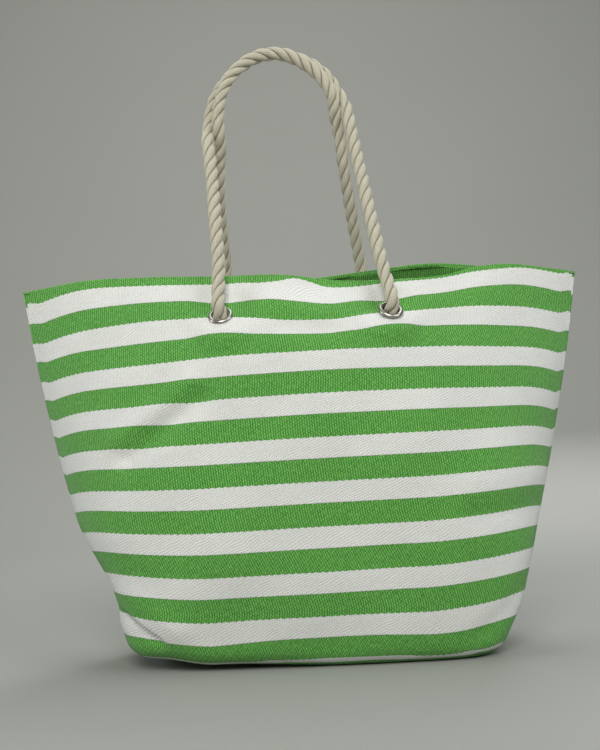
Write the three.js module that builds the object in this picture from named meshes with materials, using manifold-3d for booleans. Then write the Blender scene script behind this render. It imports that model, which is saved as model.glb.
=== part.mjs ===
// Striped canvas beach bag with two rope handles, in millimetres, +Z up.
// The bag stands on its flat boxed base; X is its width and the front faces -Y.
import * as THREE from 'three';
import { mergeVertices } from 'three/addons/utils/BufferGeometryUtils.js';
import Module from 'manifold-3d';

const wasm = await Module();
wasm.setup();

// ---- Driving dimensions ----
const BAG_HEIGHT = 372;
// Loft stations from the base to the rim: half width, half depth, and how square the section is (0 lens, 1 box).
const STATIONS = [
  { z: 0, halfWidth: 186, halfDepth: 79, square: 1.0 },
  { z: 50, halfWidth: 202, halfDepth: 87, square: 0.9 },
  { z: 110, halfWidth: 223, halfDepth: 93, square: 0.68 },
  { z: 180, halfWidth: 245, halfDepth: 95, square: 0.42 },
  { z: 250, halfWidth: 262, halfDepth: 92, square: 0.2 },
  { z: 297, halfWidth: 272, halfDepth: 87, square: 0.08 },
  { z: 336, halfWidth: 279, halfDepth: 73, square: 0.02 },
  { z: BAG_HEIGHT, halfWidth: 285, halfDepth: 50, square: 0.0 },
];
const BASE_EDGE_RADIUS = 16;
const SEAM_GAP = 0.3;          // between the front and back cloth at the side and base seams
const LAYER_GAP = 0.3;         // between one layer of cloth and the next
const CLOTH = 1.6;             // woven outer cloth
const FACING = 1.4;            // the same cloth turned in at the rim
const LINING = 1.0;
const HEM_DEPTH = 60;
const POCKET = { halfWidth: 85, bottom: 140, top: 262, thickness: 1.2 };

const EYELET = { x: 81, z: 327, outer: 12, bore: 7.4, barrel: 8.4, flange: 2.4 };
const WASHER = { outer: 12, inner: 8.7, thickness: 1.0 };
const ROPE_RADIUS = 6.8;
const KNOT = { radius: 15, thickness: 23, endLength: 30 };

// Routes of the two handles above the eyelets, left to right.
const FRONT_ROUTE = [
  [-82, -68, 358], [-82, -61, 382], [-84, -50, 416], [-86, -37, 450], [-88, -26, 478], [-90, -16, 509],
  [-90, -10, 533], [-88, -8, 553], [-82, -8, 570], [-71, -8, 586], [-58, -8, 599], [-40, -8, 610],
  [-18, -8, 614], [3, -8, 609], [22, -8, 600], [37, -8, 586], [49, -8, 563], [56, -10, 535],
  [60, -17, 504], [64, -29, 470], [67, -39, 442], [71, -51, 409], [75, -61, 378], [79, -68, 356],
];
const BACK_ROUTE = [
  [-81, 68, 358], [-80, 56, 400], [-82, 42, 438], [-83, 29, 470], [-82, 18, 502], [-81, 11, 530],
  [-80, 8, 556], [-76, 8, 577], [-68, 8, 594], [-55, 8, 609], [-38, 8, 619], [-17, 8, 622],
  [0, 8, 617], [17, 8, 606], [31, 8, 591], [40, 8, 573], [44, 8, 552], [47, 10, 528],
  [50, 16, 502], [55, 28, 473], [61, 42, 438], [68, 56, 399], [76, 68, 358],
];

const COLOURS = { green: 0x57a04a, white: 0xd7d7d0, lining: 0xcfc8b4, nickel: 0xb9bcc0, rope: 0xc8c0a5 };

// ---- Shape of the bag ----

// Value of a station field at height z, eased smoothly between stations.
function loft(z, field) {
  const points = STATIONS.map((s) => new THREE.Vector2(s.z, s[field]));
  const last = points.length - 1;
  if (z <= 0) return points[0].y;
  if (z >= points[last].x) {
    const slope = (points[last].y - points[last - 1].y) / (points[last].x - points[last - 1].x);
    return points[last].y + slope * (z - points[last].x);
  }
  const i = points.findIndex((p, k) => k < last && z < points[k + 1].x);
  const before = points[Math.max(i - 1, 0)];
  const after = points[Math.min(i + 2, last)];
  const [p, q] = [points[i], points[i + 1]];
  const span = q.x - p.x;
  const startSlope = (q.y - before.y) / (q.x - before.x) * span;
  const endSlope = (after.y - p.y) / (after.x - p.x) * span;
  const t = (z - p.x) / span;
  const [t2, t3] = [t * t, t * t * t];
  return (2 * t3 - 3 * t2 + 1) * p.y + (t3 - 2 * t2 + t) * startSlope
    + (3 * t2 - 2 * t3) * q.y + (t3 - t2) * endSlope;
}

// How far the cloth has turned under at height z above the floor.
function baseTurn(z) {
  if (z >= BASE_EDGE_RADIUS) return 0;
  const rise = BASE_EDGE_RADIUS - z;
  return BASE_EDGE_RADIUS - Math.sqrt(BASE_EDGE_RADIUS ** 2 - rise ** 2);
}

// Width and depth of the section at height z, for a layer lying inset mm inside the outer face.
function section(z, inset) {
  const square = THREE.MathUtils.clamp(loft(z, 'square'), 0, 1);
  const turn = baseTurn(z - inset);
  const seamInset = inset * (1 + 3.4 * (1 - square));
  return {
    halfWidth: loft(z, 'halfWidth') - seamInset - turn,
    halfDepth: loft(z, 'halfDepth') - inset - turn,
    power: 2 + 3.5 * square,
    root: 1 - 0.8 * square,
  };
}

function depthAt(x, s) {
  const t = Math.min(Math.abs(x) / s.halfWidth, 1);
  return s.halfDepth * (1 - t ** s.power) ** s.root;
}

// Points spaced evenly along the front half of the section, from the left seam to the right seam.
function frontHalf(z, inset, count) {
  const s = section(z, inset);
  const fine = 600;
  const path = [];
  for (let i = 0; i <= fine; i += 1) {
    const x = -s.halfWidth * Math.cos(Math.PI * i / fine);
    path.push(new THREE.Vector2(x, -depthAt(x, s)));
  }
  const lengths = [0];
  for (let i = 1; i <= fine; i += 1) lengths.push(lengths[i - 1] + path[i].distanceTo(path[i - 1]));
  const points = [];
  let k = 0;
  for (let i = 0; i <= count; i += 1) {
    const target = lengths[fine] * i / count;
    while (k < fine - 1 && lengths[k + 1] < target) k += 1;
    const share = (target - lengths[k]) / (lengths[k + 1] - lengths[k]);
    points.push(path[k].clone().lerp(path[k + 1], share));
  }
  return points;
}

const COLUMNS = 22;            // across one half of the bag
const OVERSHOOT = 6;           // how far a cutting solid runs past what it cuts

function ring(z, inset) {
  const front = frontHalf(z, inset, COLUMNS);
  const back = front.slice(1, COLUMNS).map((p) => new THREE.Vector2(-p.x, -p.y));
  return [...front, ...back].map((p) => [p.x, p.y, z]);
}

// ---- Solids ----

function solidFrom(vertices, triangles) {
  const mesh = new wasm.Mesh({
    numProp: 3,
    vertProperties: new Float32Array(vertices.flat()),
    triVerts: new Uint32Array(triangles.flat()),
  });
  return new wasm.Manifold(mesh);
}

function solidOf(geometry) {
  const bare = geometry.index ? geometry.toNonIndexed() : geometry.clone();
  bare.deleteAttribute('normal');
  bare.deleteAttribute('uv');
  const merged = mergeVertices(bare, 1e-4);
  const kept = [];
  const index = merged.index.array;
  for (let i = 0; i < index.length; i += 3) {
    const [a, b, c] = [index[i], index[i + 1], index[i + 2]];
    if (a !== b && b !== c && a !== c) kept.push(a, b, c);
  }
  return new wasm.Manifold(new wasm.Mesh({
    numProp: 3,
    vertProperties: new Float32Array(merged.attributes.position.array),
    triVerts: new Uint32Array(kept),
  }));
}

function geometryOf(solid) {
  const mesh = solid.getMesh();
  const geometry = new THREE.BufferGeometry();
  geometry.setAttribute('position', new THREE.BufferAttribute(mesh.vertProperties, 3));
  geometry.setIndex(new THREE.BufferAttribute(mesh.triVerts, 1));
  geometry.computeVertexNormals();
  return geometry;
}

// The bag's whole volume inside the layer at inset, between two heights.
function bagVolume(inset, heights) {
  const rings = heights.map((z) => ring(z, inset));
  const around = rings[0].length;
  const vertices = rings.flat();
  const triangles = [];
  for (let row = 0; row < rings.length - 1; row += 1) {
    for (let i = 0; i < around; i += 1) {
      const j = (i + 1) % around;
      const [a, b] = [row * around + i, row * around + j];
      const [c, d] = [b + around, a + around];
      triangles.push([a, b, c], [a, c, d]);
    }
  }
  const low = vertices.push([0, 0, heights[0]]) - 1;
  const high = vertices.push([0, 0, heights[heights.length - 1]]) - 1;
  const top = (rings.length - 1) * around;
  for (let i = 0; i < around; i += 1) {
    const j = (i + 1) % around;
    triangles.push([low, j, i], [high, top + i, top + j]);
  }
  return solidFrom(vertices, triangles);
}

function block(low, high) {
  const size = high.map((value, i) => value - low[i]);
  const geometry = new THREE.BoxGeometry(...size);
  geometry.translate(...high.map((value, i) => (value + low[i]) / 2));
  return solidOf(geometry);
}

// Everything on one side of the seam plane: side is -1 at the front and 1 at the back.
function halfSpace(side) {
  const near = SEAM_GAP / 2;
  const low = [-400, side < 0 ? -200 : near, -50];
  const high = [400, side < 0 ? -near : 200, 500];
  return block(low, high);
}

// ---- Eyelet places ----

// The cloth is flat upwards between these two heights, so that the eyelets lie flat on it.
const HEM_LOW = BAG_HEIGHT - HEM_DEPTH;
const FLAT_TOP = HEM_LOW + 36;

// Point on the outer face at an eyelet, and the outward direction there.
function eyeletPlace(sideX, sideY) {
  const x = sideX * EYELET.x;
  const surface = (px, pz) => THREE.MathUtils.mapLinear(
    pz, HEM_LOW, FLAT_TOP, depthAt(px, section(HEM_LOW, 0)), depthAt(px, section(FLAT_TOP, 0)),
  );
  const step = 1;
  const slopeX = (surface(x + step, EYELET.z) - surface(x - step, EYELET.z)) / (2 * step);
  const slopeZ = (surface(x, EYELET.z + step) - surface(x, EYELET.z - step)) / (2 * step);
  const point = new THREE.Vector3(x, sideY * surface(x, EYELET.z), EYELET.z);
  const outward = new THREE.Vector3(-slopeX, sideY, -slopeZ).normalize();
  return { point, outward };
}

// Lays a geometry made along +Z on the eyelet's axis, with its origin on the outer face.
function onEyelet(geometry, sideX, sideY) {
  const { point, outward } = eyeletPlace(sideX, sideY);
  const turn = new THREE.Quaternion().setFromUnitVectors(new THREE.Vector3(0, 0, 1), outward);
  geometry.applyQuaternion(turn);
  geometry.translate(point.x, point.y, point.z);
  return geometry;
}

function eyeletHoles() {
  const radius = EYELET.barrel + LAYER_GAP;
  const length = 24;
  const holes = [];
  for (const sideX of [-1, 1]) {
    for (const sideY of [-1, 1]) {
      const geometry = new THREE.CylinderGeometry(radius, radius, length, 20).rotateX(Math.PI / 2);
      holes.push(solidOf(onEyelet(geometry, sideX, sideY)));
    }
  }
  return holes.reduce((all, hole) => all.add(hole));
}

// ---- Cloth pieces ----

const FACING_INSET = CLOTH + LAYER_GAP;
const BASE_ROWS = [0, 2, 7, BASE_EDGE_RADIUS];
const WALL_ROWS = [40, 80, 120, 160, 200, 240, 280, HEM_LOW, FLAT_TOP];

// Heights of the rings of a layer, up to the height given. Layers share them, so that their facets nest.
function rowsUpTo(top, inset) {
  const walls = WALL_ROWS.filter((z) => z < top - 1);
  return [...BASE_ROWS.map((z) => z + inset), ...walls, top];
}

// Outer cloth: a bag-shaped shell, open at the rim.
function outerShell() {
  const outer = bagVolume(0, rowsUpTo(BAG_HEIGHT, 0));
  const inner = bagVolume(CLOTH, [...rowsUpTo(BAG_HEIGHT, CLOTH), BAG_HEIGHT + OVERSHOOT]);
  return outer.subtract(inner).subtract(eyeletHoles());
}

// Hem facing: the cloth turned in at the rim and sewn down.
function facingBand() {
  const rows = [...WALL_ROWS.filter((z) => z >= HEM_LOW), BAG_HEIGHT];
  const outer = bagVolume(FACING_INSET, rows);
  const inner = bagVolume(FACING_INSET + FACING, [HEM_LOW - OVERSHOOT, ...rows, BAG_HEIGHT + OVERSHOOT]);
  return outer.subtract(inner).subtract(eyeletHoles());
}

// Lining: a thin inner bag that starts under the facing.
function liningShell() {
  const top = HEM_LOW - LAYER_GAP;
  const inside = FACING_INSET + LINING;
  const outer = bagVolume(FACING_INSET, rowsUpTo(top, FACING_INSET));
  const inner = bagVolume(inside, [...rowsUpTo(top, inside), top + OVERSHOOT]);
  return outer.subtract(inner);
}

// Slip pocket: a flat patch on the back lining.
function pocketPatch() {
  const inset = FACING_INSET + LINING + LAYER_GAP;
  const { halfWidth, bottom, top, thickness } = POCKET;
  const rows = WALL_ROWS.filter((z) => z > bottom - 40 && z < top + 40);
  const outer = bagVolume(inset, rows);
  const past = [rows[0] - OVERSHOOT, ...rows, rows[rows.length - 1] + OVERSHOOT];
  const inner = bagVolume(inset + thickness, past);
  const patch = block([-halfWidth, 5, bottom], [halfWidth, 200, top]);
  return outer.subtract(inner).intersect(patch);
}

// ---- Eyelets, washers and ropes ----

function lathe(profile, segments) {
  const points = profile.map(([radius, height]) => new THREE.Vector2(radius, height));
  return new THREE.LatheGeometry(points, segments).rotateX(Math.PI / 2);
}

const CLOTH_SLACK = 1.0;        // how much the layers part at an eyelet
const CLOTH_STACK = CLOTH + LAYER_GAP + FACING + CLOTH_SLACK;

// Nickel eyelet: a rolled flange on the outer face and a barrel through the cloth.
function eyelet() {
  const { outer, bore, barrel, flange } = EYELET;
  const end = -(CLOTH_STACK + LAYER_GAP + WASHER.thickness + 1.2);
  const under = LAYER_GAP;
  const top = under + flange;
  return lathe([
    [bore, end], [barrel, end], [barrel, under], [outer, under], [outer, under + 0.9],
    [outer - 1.2, top - 0.3], [outer - 2.6, top], [bore + 0.9, top - 0.3], [bore, top - 1.2], [bore, end],
  ], 20);
}

// Flat washer behind the facing that the barrel is clenched over.
function washer() {
  const top = -(CLOTH_STACK + LAYER_GAP);
  const low = top - WASHER.thickness;
  return lathe([
    [WASHER.inner, low], [WASHER.outer, low], [WASHER.outer, top], [WASHER.inner, top], [WASHER.inner, low],
  ], 20);
}

const MOUTH = LAYER_GAP + EYELET.flange;
const HINGE_OFFSET = MOUTH + LAYER_GAP + ROPE_RADIUS;

// The rope's end inside the bag: a length through the eyelet, a stopper knot and the free end below it.
function ropeEnd(sideX, sideY) {
  const knotTop = -(CLOTH_STACK + 2 * LAYER_GAP + WASHER.thickness + 1.2);
  const knotCentre = knotTop - KNOT.thickness / 2;
  const radius = ROPE_RADIUS;
  const length = MOUTH - knotCentre;
  const tail = new THREE.CylinderGeometry(radius, radius, length, 12).rotateX(Math.PI / 2);
  tail.translate(0, 0, knotCentre + length / 2);
  const knot = new THREE.SphereGeometry(KNOT.radius, 14, 10);
  knot.scale(1, 1, KNOT.thickness / 2 / KNOT.radius);
  knot.translate(0, 0, knotCentre);
  const { point, outward } = eyeletPlace(sideX, sideY);
  const centre = point.clone().addScaledVector(outward, knotCentre);
  const free = new THREE.CylinderGeometry(radius, radius, KNOT.radius + KNOT.endLength, 12);
  free.rotateX(Math.PI / 2);
  free.translate(centre.x, centre.y, centre.z - (KNOT.radius + KNOT.endLength) / 2);
  return solidOf(onEyelet(tail, sideX, sideY))
    .add(solidOf(onEyelet(knot, sideX, sideY)))
    .add(solidOf(free));
}

function hingePoint(sideX, sideY) {
  const { point, outward } = eyeletPlace(sideX, sideY);
  return point.addScaledVector(outward, HINGE_OFFSET);
}

// A handle: one rope arch with round ends that turn in front of the eyelet mouths.
function handleArch(route, sideY) {
  const ends = [hingePoint(-1, sideY), hingePoint(1, sideY)];
  const points = [ends[0], ...route.map((p) => new THREE.Vector3(...p)), ends[1]];
  const curve = new THREE.CatmullRomCurve3(points, false, 'centripetal');
  const shape = new THREE.Shape();
  shape.absarc(0, 0, ROPE_RADIUS, 0, 2 * Math.PI);
  const tube = new THREE.ExtrudeGeometry(shape, { steps: 36, curveSegments: 5, extrudePath: curve });
  const balls = ends.map((end) => {
    const ball = new THREE.SphereGeometry(ROPE_RADIUS, 12, 8);
    return solidOf(ball.translate(end.x, end.y, end.z));
  });
  return balls.reduce((all, ball) => all.add(ball), solidOf(tube));
}

// ---- Assembly ----

const group = new THREE.Group();

function addMesh(name, geometry, colour, roughness, metalness) {
  const material = new THREE.MeshStandardMaterial({ color: colour, roughness, metalness });
  const mesh = new THREE.Mesh(geometry, material);
  mesh.name = name;
  group.add(mesh);
}

for (const [side, label] of [[-1, 'front'], [1, 'back']]) {
  const half = halfSpace(side);
  addMesh(`${label}_panel`, geometryOf(outerShell().intersect(half)), COLOURS.green, 0.85, 0);
  addMesh(`${label}_hem_facing`, geometryOf(facingBand().intersect(half)), COLOURS.green, 0.85, 0);
  addMesh(`${label}_lining`, geometryOf(liningShell().intersect(half)), COLOURS.lining, 0.9, 0);
}
addMesh('inner_slip_pocket', geometryOf(pocketPatch()), COLOURS.lining, 0.9, 0);

for (const [sideY, label] of [[-1, 'front'], [1, 'back']]) {
  for (const [sideX, hand] of [[-1, 'left'], [1, 'right']]) {
    const name = `${label}_${hand}`;
    addMesh(`${name}_eyelet`, onEyelet(eyelet(), sideX, sideY), COLOURS.nickel, 0.3, 1);
    addMesh(`${name}_washer`, onEyelet(washer(), sideX, sideY), COLOURS.nickel, 0.35, 1);
    addMesh(`${name}_rope_knot`, geometryOf(ropeEnd(sideX, sideY)), COLOURS.rope, 0.9, 0);
  }
}
addMesh('front_rope_handle', geometryOf(handleArch(FRONT_ROUTE, -1)), COLOURS.rope, 0.9, 0);
addMesh('back_rope_handle', geometryOf(handleArch(BACK_ROUTE, 1)), COLOURS.rope, 0.9, 0);

export default group;
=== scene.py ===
import math

import bmesh
import bpy
import numpy as np
from mathutils import Matrix, Vector


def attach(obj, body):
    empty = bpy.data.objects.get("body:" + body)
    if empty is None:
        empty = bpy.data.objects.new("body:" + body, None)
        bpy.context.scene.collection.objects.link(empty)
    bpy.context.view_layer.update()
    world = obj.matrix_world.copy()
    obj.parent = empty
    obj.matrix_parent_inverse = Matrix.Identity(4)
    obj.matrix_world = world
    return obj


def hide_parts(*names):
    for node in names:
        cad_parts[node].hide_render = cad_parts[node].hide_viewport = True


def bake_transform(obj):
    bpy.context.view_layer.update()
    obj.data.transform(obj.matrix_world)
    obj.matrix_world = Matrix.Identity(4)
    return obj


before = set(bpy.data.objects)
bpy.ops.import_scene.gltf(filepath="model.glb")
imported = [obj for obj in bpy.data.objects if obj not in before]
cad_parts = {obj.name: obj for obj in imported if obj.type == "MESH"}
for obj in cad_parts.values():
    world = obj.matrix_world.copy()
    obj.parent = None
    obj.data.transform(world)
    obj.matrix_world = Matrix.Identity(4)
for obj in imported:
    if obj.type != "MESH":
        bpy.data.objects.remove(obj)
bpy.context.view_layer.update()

# A striped canvas beach bag with two rope handles; +Z is up and the front faces -Y.
# The bag is laid out in millimetres and scaled by MM; the camera, stage and lights are in metres.
MM = 0.001
SIDES = (("front", -1), ("back", 1))
HANDS = (("left", -1), ("right", 1))

# ---- camera

CAMERA_PLACE = Vector((-0.0368, -0.9153, 0.184))
CAMERA_AIM = math.radians(1.95)      # towards +X from straight ahead
CAMERA_PITCH = math.radians(5.7)
CAMERA_ROLL = math.radians(2.3)
CAMERA_LENS = 43.25


def make_camera():
    forward = Vector((
        math.sin(CAMERA_AIM) * math.cos(CAMERA_PITCH),
        math.cos(CAMERA_AIM) * math.cos(CAMERA_PITCH),
        math.sin(CAMERA_PITCH),
    ))
    level = forward.cross(Vector((0, 0, 1))).normalized()
    over = level.cross(forward)
    right = level * math.cos(CAMERA_ROLL) - over * math.sin(CAMERA_ROLL)
    up = right.cross(forward)
    data = bpy.data.cameras.new("camera")
    data.lens = CAMERA_LENS
    data.sensor_width = 36
    camera = bpy.data.objects.new("camera", data)
    bpy.context.collection.objects.link(camera)
    turn = Matrix((right, up, -forward)).transposed()
    camera.matrix_world = Matrix.Translation(CAMERA_PLACE) @ turn.to_4x4()
    bpy.context.scene.camera = camera


make_camera()

# ---- curve helpers


def smoothstep(value, low, high):
    t = np.clip((np.asarray(value, float) - low) / (high - low), 0, 1)
    return t * t * (3 - 2 * t)


def cubic(t, start, end, start_slope, end_slope):
    """From start to end for t of 0 to 1, with slopes for each unit of t."""
    t2, t3 = t * t, t * t * t
    return ((2 * t3 - 3 * t2 + 1) * start + (t3 - 2 * t2 + t) * start_slope
            + (3 * t2 - 2 * t3) * end + (t3 - t2) * end_slope)


def curve_through(points, x):
    """Smooth curve through (place, value) points, with level ends."""
    places, values = np.array(points, float).T
    slopes = np.gradient(values, places)
    slopes[0] = slopes[-1] = 0
    x = np.clip(x, places[0], places[-1])
    i = np.clip(np.searchsorted(places, x, side="right") - 1, 0, len(places) - 2)
    span = places[i + 1] - places[i]
    return cubic((x - places[i]) / span, values[i], values[i + 1], slopes[i] * span, slopes[i + 1] * span)


def line_lengths(line):
    """Distance along a line of points, from its first one."""
    return np.concatenate([[0], np.cumsum(np.linalg.norm(np.diff(line, axis=0), axis=1))])


def points_at(places, along, line):
    """Points of a line at these distances along it."""
    return np.stack([np.interp(places, along, line[:, k]) for k in range(3)], axis=-1)


# ---- the bag's shape, in millimetres

BAG_HEIGHT = 372
# Loft stations: height, half width, half depth, and how square the section is (0 lens, 1 box).
STATIONS = np.array([
    (0, 186, 79, 1.0), (50, 202, 87, 0.9), (110, 223, 93, 0.68), (180, 245, 95, 0.42),
    (250, 262, 92, 0.2), (297, 272, 87, 0.08), (336, 279, 73, 0.02), (BAG_HEIGHT, 285, 50, 0.0),
], float)
LENS_POWER, POWER_GAIN, ROOT_DROP = 2, 3.5, 0.8      # the section's curve, from lens to box
SEAM_INSET = 3.4             # how much further in a layer lies at the seams of a lens-shaped section
SECTION_POINTS = 1201
BASE_EDGE_RADIUS = 16
SEAM_GAP = 0.3
LAYER_GAP = 0.3
CLOTH = 1.6
FACING = 1.4
LINING = 1.0
FACING_INSET = CLOTH + LAYER_GAP
HEM_LOW = BAG_HEIGHT - 60
FLAT_TOP = HEM_LOW + 36
EYELET_X, EYELET_Z = 81, 327
EYELET_OUTER, EYELET_BORE = 12, 7.4
EYELET_TILT = math.radians(18)       # the ropes' pull turns the eyelets to face further up
ROPE_RADIUS = 6.8


def loft(z, column):
    """Station value at height z, eased smoothly between stations."""
    z = np.asarray(z, float)
    heights, values = STATIONS[:, 0], STATIONS[:, column]
    last = len(heights) - 1
    i = np.clip(np.searchsorted(heights, z, side="right") - 1, 0, last - 1)
    before, after = np.maximum(i - 1, 0), np.minimum(i + 2, last)
    span = heights[i + 1] - heights[i]
    start = (values[i + 1] - values[before]) / (heights[i + 1] - heights[before]) * span
    end = (values[after] - values[i]) / (heights[after] - heights[i]) * span
    t = np.clip((z - heights[i]) / span, 0, 1)
    inside = cubic(t, values[i], values[i + 1], start, end)
    slope = (values[last] - values[last - 1]) / (heights[last] - heights[last - 1])
    return inside + np.maximum(z - heights[last], 0) * slope


def section(z, inset):
    """Half width, half depth and the two powers of the section of a layer at that inset."""
    square = float(np.clip(loft(z, 3), 0, 1))
    rise = max(BASE_EDGE_RADIUS - (z - inset), 0)
    turn = BASE_EDGE_RADIUS - math.sqrt(max(BASE_EDGE_RADIUS ** 2 - rise ** 2, 0))
    half_width = float(loft(z, 1)) - inset * (1 + SEAM_INSET * (1 - square)) - turn
    half_depth = float(loft(z, 2)) - inset - turn
    return half_width, half_depth, LENS_POWER + POWER_GAIN * square, 1 - ROOT_DROP * square


def depth_at(x, form):
    half_width, half_depth, power, root = form
    share = np.minimum(np.abs(x) / half_width, 1)
    return half_depth * (1 - share ** power) ** root


def half_section(z, inset, count):
    """x and depth of count + 1 points, evenly spaced along half of the section."""
    form = section(z, inset)
    x = -form[0] * np.cos(np.linspace(0, math.pi, SECTION_POINTS))
    depth = depth_at(x, form)
    along = np.concatenate([[0], np.cumsum(np.hypot(np.diff(x), np.diff(depth)))])
    even = np.linspace(0, along[-1], count + 1)
    return np.interp(even, along, x), np.interp(even, along, depth)


def eyelet_place(side_x, side_y, tilt=EYELET_TILT):
    """Point on the cloth at an eyelet's centre, and the way that the eyelet faces."""
    low, high = section(HEM_LOW, 0), section(FLAT_TOP, 0)

    def surface(x, z):
        share = (z - HEM_LOW) / (FLAT_TOP - HEM_LOW)
        return (1 - share) * depth_at(x, low) + share * depth_at(x, high)

    x = side_x * EYELET_X
    slope_x = (surface(x + 1, EYELET_Z) - surface(x - 1, EYELET_Z)) / 2
    slope_z = (surface(x, EYELET_Z + 1) - surface(x, EYELET_Z - 1)) / 2
    point = Vector((x, side_y * surface(x, EYELET_Z), EYELET_Z))
    outward = Vector((-slope_x, side_y, -slope_z)).normalized()
    return point, Matrix.Rotation(side_y * tilt, 3, "X") @ outward


# ---- mesh helpers


def mesh_object(name, points, faces):
    """A mesh object from points in millimetres."""
    mesh = bpy.data.meshes.new(name)
    mesh.from_pydata((np.asarray(points, float) * MM).tolist(), [], faces)
    mesh.validate()
    mesh.update()
    mesh.shade_smooth()
    obj = bpy.data.objects.new(name, mesh)
    bpy.context.collection.objects.link(obj)
    return obj


def grid_faces(rows, columns, start=0, wrap=False, flip=False):
    """Quads of a grid of points; wrap joins the last column to the first."""
    across = columns if wrap else columns - 1
    row, col = np.meshgrid(np.arange(rows - 1), np.arange(across), indexing="ij")
    a, b = row * columns + col, row * columns + (col + 1) % columns
    c, d = b + columns, a + columns
    quads = np.stack([a, b, c, d], -1).reshape(-1, 4) + start
    return quads[:, ::-1] if flip else quads


def grid_normals(grid):
    """Unit normals, facing +Y on a wall laid out from left to right and downward."""
    down = np.gradient(grid, axis=0)
    across = np.gradient(grid, axis=1)
    normal = np.cross(across, down)
    size = np.linalg.norm(normal, axis=2, keepdims=True)
    return normal / np.maximum(size, 1e-9)


def finish_piece(obj, material, node):
    """Puts a piece on the bag's body, with its material, slot and CAD node."""
    obj.data.materials.append(material)
    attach(obj, "bag")
    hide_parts(node)


# ---- node helpers


class Graph:
    """Short calls for building a material's node tree."""

    def __init__(self, name):
        self.material = bpy.data.materials.new(name)
        self.material.use_nodes = True
        self.tree = self.material.node_tree
        self.shader = self.tree.nodes["Principled BSDF"]

    def node(self, kind, **settings):
        made = self.tree.nodes.new(kind)
        for key, value in settings.items():
            setattr(made, key, value)
        return made

    def feed(self, socket, value):
        if isinstance(value, bpy.types.NodeSocket):
            self.tree.links.new(value, socket)
        else:
            socket.default_value = value

    def feed_named(self, node, **values):
        for name, value in values.items():
            self.feed(node.inputs[name.replace("_", " ")], value)

    def fed(self, kind, values, **settings):
        """The first output of a new node whose inputs get these values, in order."""
        made = self.node(kind, **settings)
        for socket, value in zip(made.inputs, values):
            self.feed(socket, value)
        return made.outputs[0]

    def math(self, operation, *values):
        return self.fed("ShaderNodeMath", values, operation=operation)

    def times(self, first, second):
        return self.math("MULTIPLY", first, second)

    def total(self, base, *parts):
        """base plus each part, given as (value, share)."""
        for value, share in parts:
            base = self.math("MULTIPLY_ADD", value, share, base)
        return base

    def attribute(self, name):
        return self.node("ShaderNodeAttribute", attribute_name=name).outputs["Fac"]

    def vector(self, x, y):
        return self.fed("ShaderNodeCombineXYZ", (x, y))

    def noise(self, vector, scale, detail=2.0, roughness=0.5):
        made = self.node("ShaderNodeTexNoise")
        self.feed_named(made, Vector=vector, Scale=scale, Detail=detail, Roughness=roughness)
        return made.outputs["Fac"]

    def ramp(self, value, low, high, out_low=0.0, out_high=1.0):
        values = (value, low, high, out_low, out_high)
        return self.fed("ShaderNodeMapRange", values, interpolation_type="SMOOTHSTEP")

    def mix(self, share, first, second):
        made = self.node("ShaderNodeMix", data_type="RGBA")
        self.feed(made.inputs[0], share)
        self.feed(made.inputs[6], first)
        self.feed(made.inputs[7], second)
        return made.outputs[2]

    def blend(self, share, first, second):
        """first where share is 0 and second where it is 1, for plain numbers."""
        kept = self.times(self.math("SUBTRACT", 1.0, share), first)
        return self.math("ADD", kept, self.times(share, second))

    def shade(self, colour, share):
        """The colour times a grey number."""
        made = self.node("ShaderNodeVectorMath", operation="SCALE")
        self.feed(made.inputs[0], colour[:3] if isinstance(colour, tuple) else colour)
        self.feed(made.inputs["Scale"], share)
        return made.outputs[0]

    def bump(self, height, distance, strength):
        made = self.node("ShaderNodeBump")
        self.feed_named(made, Height=height, Distance=distance, Strength=strength)
        self.feed(self.shader.inputs["Normal"], made.outputs[0])

    def surface(self, colour, roughness, **constants):
        self.feed_named(self.shader, Base_Color=colour, Roughness=roughness, **constants)


# ---- materials

STRIPE_PITCH = 41.4
GREEN_WIDTH = 21.6
GREEN = (0.045, 0.225, 0.03, 1)
# Painted highlight: the lighter green given to the weave's raised floats and ribs.
GREEN_FLOAT_HIGHLIGHT = (0.2, 0.5, 0.11, 1)
WHITE = (0.8, 0.8, 0.765, 1)
# Painted shade: the grey given to the gaps of the white twill.
WHITE_GAP_SHADE = (0.52, 0.53, 0.52, 1)
ROPE_COLOUR = (0.6, 0.56, 0.43, 1)
# Painted shade in the grooves between the rope's strands.
ROPE_GROOVE_SHADE = (0.24, 0.2, 0.13, 1)
LINING_COLOUR = (0.62, 0.57, 0.45, 1)
LINING_DEEP = (0.5, 0.45, 0.34, 1)
THREAD_COLOUR = (0.7, 0.7, 0.64, 1)
NICKEL_DARK, NICKEL_LIGHT = (0.4, 0.375, 0.34, 1), (0.56, 0.53, 0.49, 1)
STAGE_GREY = (0.34, 0.345, 0.32, 1)
# Pitches of the weave, in millimetres.
SCALLOP_PITCH, RIB_PITCH, FLOAT_ACROSS, FLOAT_DOWN = 6.1, 2.25, 4.5, 3.1
TWILL_PITCH, THREAD_PITCH, LINING_PITCH = 2.3, 1.55, 1.6
EDGE_BLUR = 0.25             # half the width over which one stripe turns into the next


def wave(graph, value, pitch):
    """Cosine wave of a value, with that pitch."""
    return graph.math("COSINE", graph.times(value, 2 * math.pi / pitch))


def cloth_places(graph):
    """Millimetres across from the cloth's left edge, and down from its first white stripe or top."""
    return [graph.times(graph.attribute(name), 1 / MM) for name in ("cloth_across", "cloth_down")]


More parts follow.
